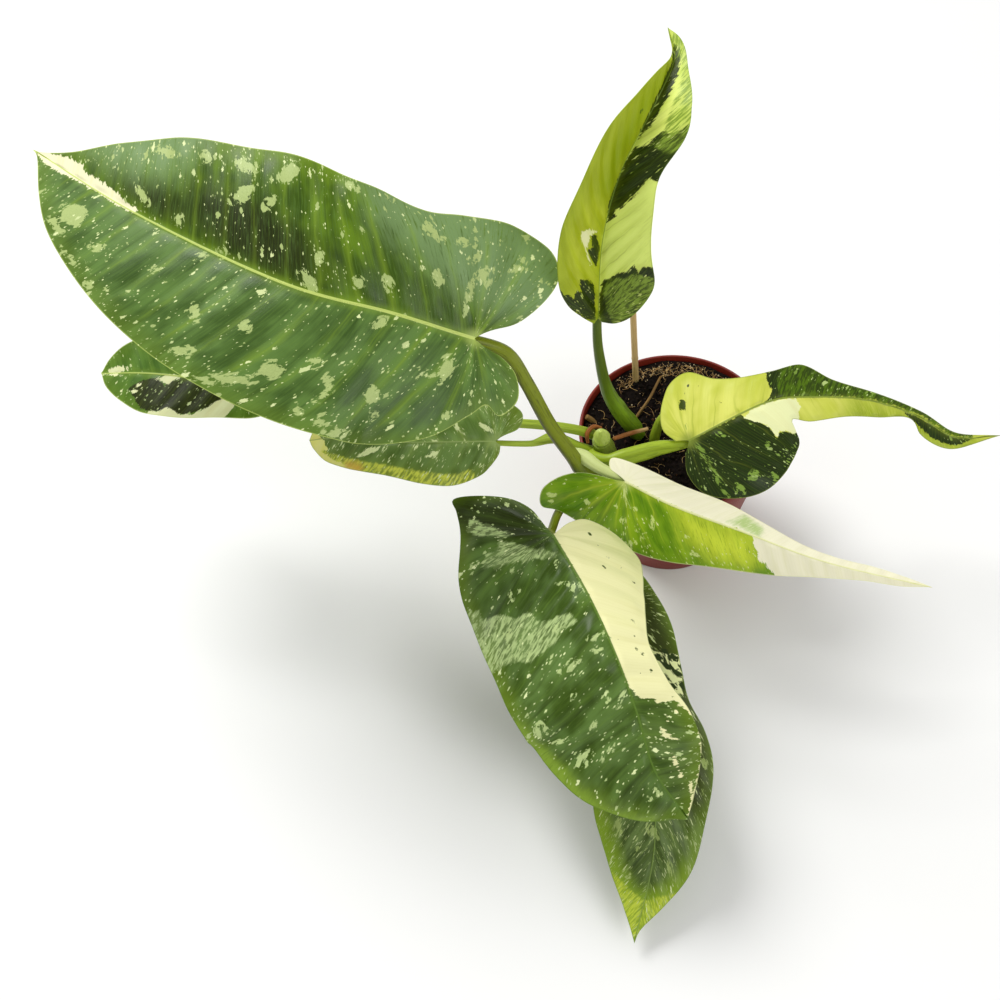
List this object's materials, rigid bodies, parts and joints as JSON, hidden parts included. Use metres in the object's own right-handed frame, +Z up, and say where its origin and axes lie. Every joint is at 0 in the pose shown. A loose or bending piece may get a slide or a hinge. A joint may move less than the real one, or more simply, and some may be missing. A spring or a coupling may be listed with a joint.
{
  "type": "potted philodendron",
  "caption": "Aroid house plant with large arrow-shaped variegated leaves on long arched stalks, in a round tapered nursery pot filled with soil, with a thin stake.",
  "frame": {"origin": "centre of the pot's flat underside", "axes": "+Z up, +X towards the tailed leaf, -Y towards the hanging leaves"},
  "size_m": [0.553, 0.3881, 0.3575],
  "materials": {
    "pot_plastic": "satin",
    "soil": "matte",
    "bamboo": "satin",
    "stem": "satin",
    "stalk": "satin",
    "stalk_pale": "satin",
    "bud": "satin",
    "dry_sheath": "matte",
    "dry_root": "matte",
    "leaf_green": "satin",
    "leaf_deep_green": "satin",
    "leaf_lime": "satin",
    "leaf_bright_green": "satin"
  },
  "bodies": {
    "root": {"pot": "pot_plastic", "soil": "soil", "stake": "bamboo", "stem": "stem", "blade_large": "leaf_green", "blade_behind_large": "leaf_deep_green", "blade_left_low": "leaf_green", "blade_top": "leaf_lime", "blade_right": "leaf_lime", "blade_front": "leaf_bright_green", "blade_hanging": "leaf_green", "blade_hanging_low": "leaf_deep_green", "stalk_large": "stem", "stalk_behind_large": "stalk", "stalk_left_low": "stalk", "stalk_top": "stalk", "stalk_right": "stalk", "stalk_front": "stalk_pale", "stalk_hanging": "stem", "stalk_hanging_low": "stalk", "growing_bud": "bud", "dry_sheath": "dry_sheath", "dry_twig": "dry_sheath", "air_root": "dry_root", "dry_stub": "dry_root", "side_shoot": "stalk"}
  },
  "joints": []
}
